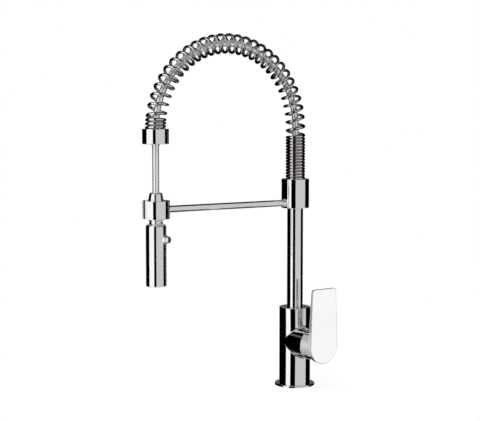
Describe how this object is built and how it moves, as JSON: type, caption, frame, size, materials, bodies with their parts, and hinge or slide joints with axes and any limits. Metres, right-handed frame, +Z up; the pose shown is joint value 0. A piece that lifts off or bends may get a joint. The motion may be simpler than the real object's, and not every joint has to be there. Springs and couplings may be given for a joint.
{
  "type": "kitchen mixer tap with spring spout",
  "caption": "Deck-mounted kitchen mixer tap with a side lever, a swivelling column, a holder arm and ring, and a pull-down spray on a hose inside an arched chrome spring.",
  "frame": {"origin": "centre of the base flange's underside, on the deck surface", "axes": "+Z up the column, -Y towards the spray, +X towards the side lever"},
  "size_m": [0.1065, 0.3035, 0.5469],
  "materials": {
    "chrome": "polished chrome plate",
    "spring_wire": "polished chrome-plated spring wire",
    "brass": "machined",
    "steel": "plain stainless",
    "ceramic": "lapped",
    "cartridge_plastic": "moulded",
    "seal_rubber": "moulded",
    "hose": "smooth satin sheath",
    "plate_plastic": "fine satin",
    "nozzle_rubber": "moulded silicone"
  },
  "bodies": {
    "base": {"base_flange": "chrome", "base_seal": "seal_rubber", "inlet_block": "brass", "mixer_body": "chrome", "cartridge_base": "cartridge_plastic", "port_seals": "seal_rubber", "cartridge_case": "cartridge_plastic", "fixed_disc": "ceramic", "cartridge_nut": "brass", "dome_cap": "chrome", "thrust_ring": "cartridge_plastic", "spout_keeper": "steel"},
    "turret": {"stem_turret": "cartridge_plastic", "stem_pin": "steel"},
    "disc": {"moving_disc": "ceramic", "disc_driver": "cartridge_plastic"},
    "lever": {"lever_handle": "chrome", "lever_stem": "steel", "lever_screw": "steel"},
    "spout": {"spout_spigot": "brass", "spigot_seals": "seal_rubber", "column_tube": "chrome", "hose_fitting": "brass", "spring_collar": "chrome", "collar_screw": "steel", "support_arm": "chrome", "holder_ring": "chrome", "arch_hose": "hose", "arch_spring": "spring_wire"},
    "hose_end": {"spring_ferrule": "chrome", "hose_sleeve": "chrome", "hose_tail": "hose", "hose_nipple": "brass"},
    "spray": {"spray_neck": "chrome", "spray_core": "cartridge_plastic", "core_seal": "seal_rubber", "diverter_housing": "cartridge_plastic", "spray_shell": "chrome", "button_spring": "steel", "nozzle_plate": "plate_plastic", "nozzle_pad": "nozzle_rubber", "rubber_nozzles": "nozzle_rubber", "aerator_insert": "cartridge_plastic"},
    "button": {"diverter_button": "chrome"}
  },
  "joints": [
    {"name": "lever_turn", "type": "hinge", "parent": "base", "child": "turret", "pos_m": [0, 0, 0.071], "axis": [1, 0, 0], "range_deg": [-45, 45]},
    {"name": "lever_lift", "type": "hinge", "parent": "turret", "child": "lever", "pos_m": [0.018, 0, 0.071], "axis": [0, 1, 0], "range_deg": [0, 20]},
    {"name": "disc_slide", "type": "slide", "parent": "turret", "child": "disc", "axis": [0, 0, 1], "range_m": [0, 0.0027]},
    {"name": "spout_swivel", "type": "hinge", "parent": "base", "child": "spout", "pos_m": [0, 0, 0], "axis": [0, 0, 1], "continuous": true},
    {"name": "pull_down", "type": "slide", "parent": "spout", "child": "hose_end", "axis": [0, 0, -1], "range_m": [0, 0.075], "stiffness_N_per_m": 150, "springref_m": -0.06, "deforming": ["arch_spring"]},
    {"name": "spray_turn", "type": "hinge", "parent": "hose_end", "child": "spray", "pos_m": [0, -0.2526, 0], "axis": [0, 0, 1], "continuous": true},
    {"name": "button_press", "type": "slide", "parent": "spray", "child": "button", "axis": [-0.8829, -0.4695, 0], "range_m": [0, 0.003], "stiffness_N_per_m": 300, "springref_m": -0.004}
  ],
  "couplings": [
    {"joint": "disc_slide", "follows": "lever_lift", "m_per_rad": 0.0075}
  ]
}
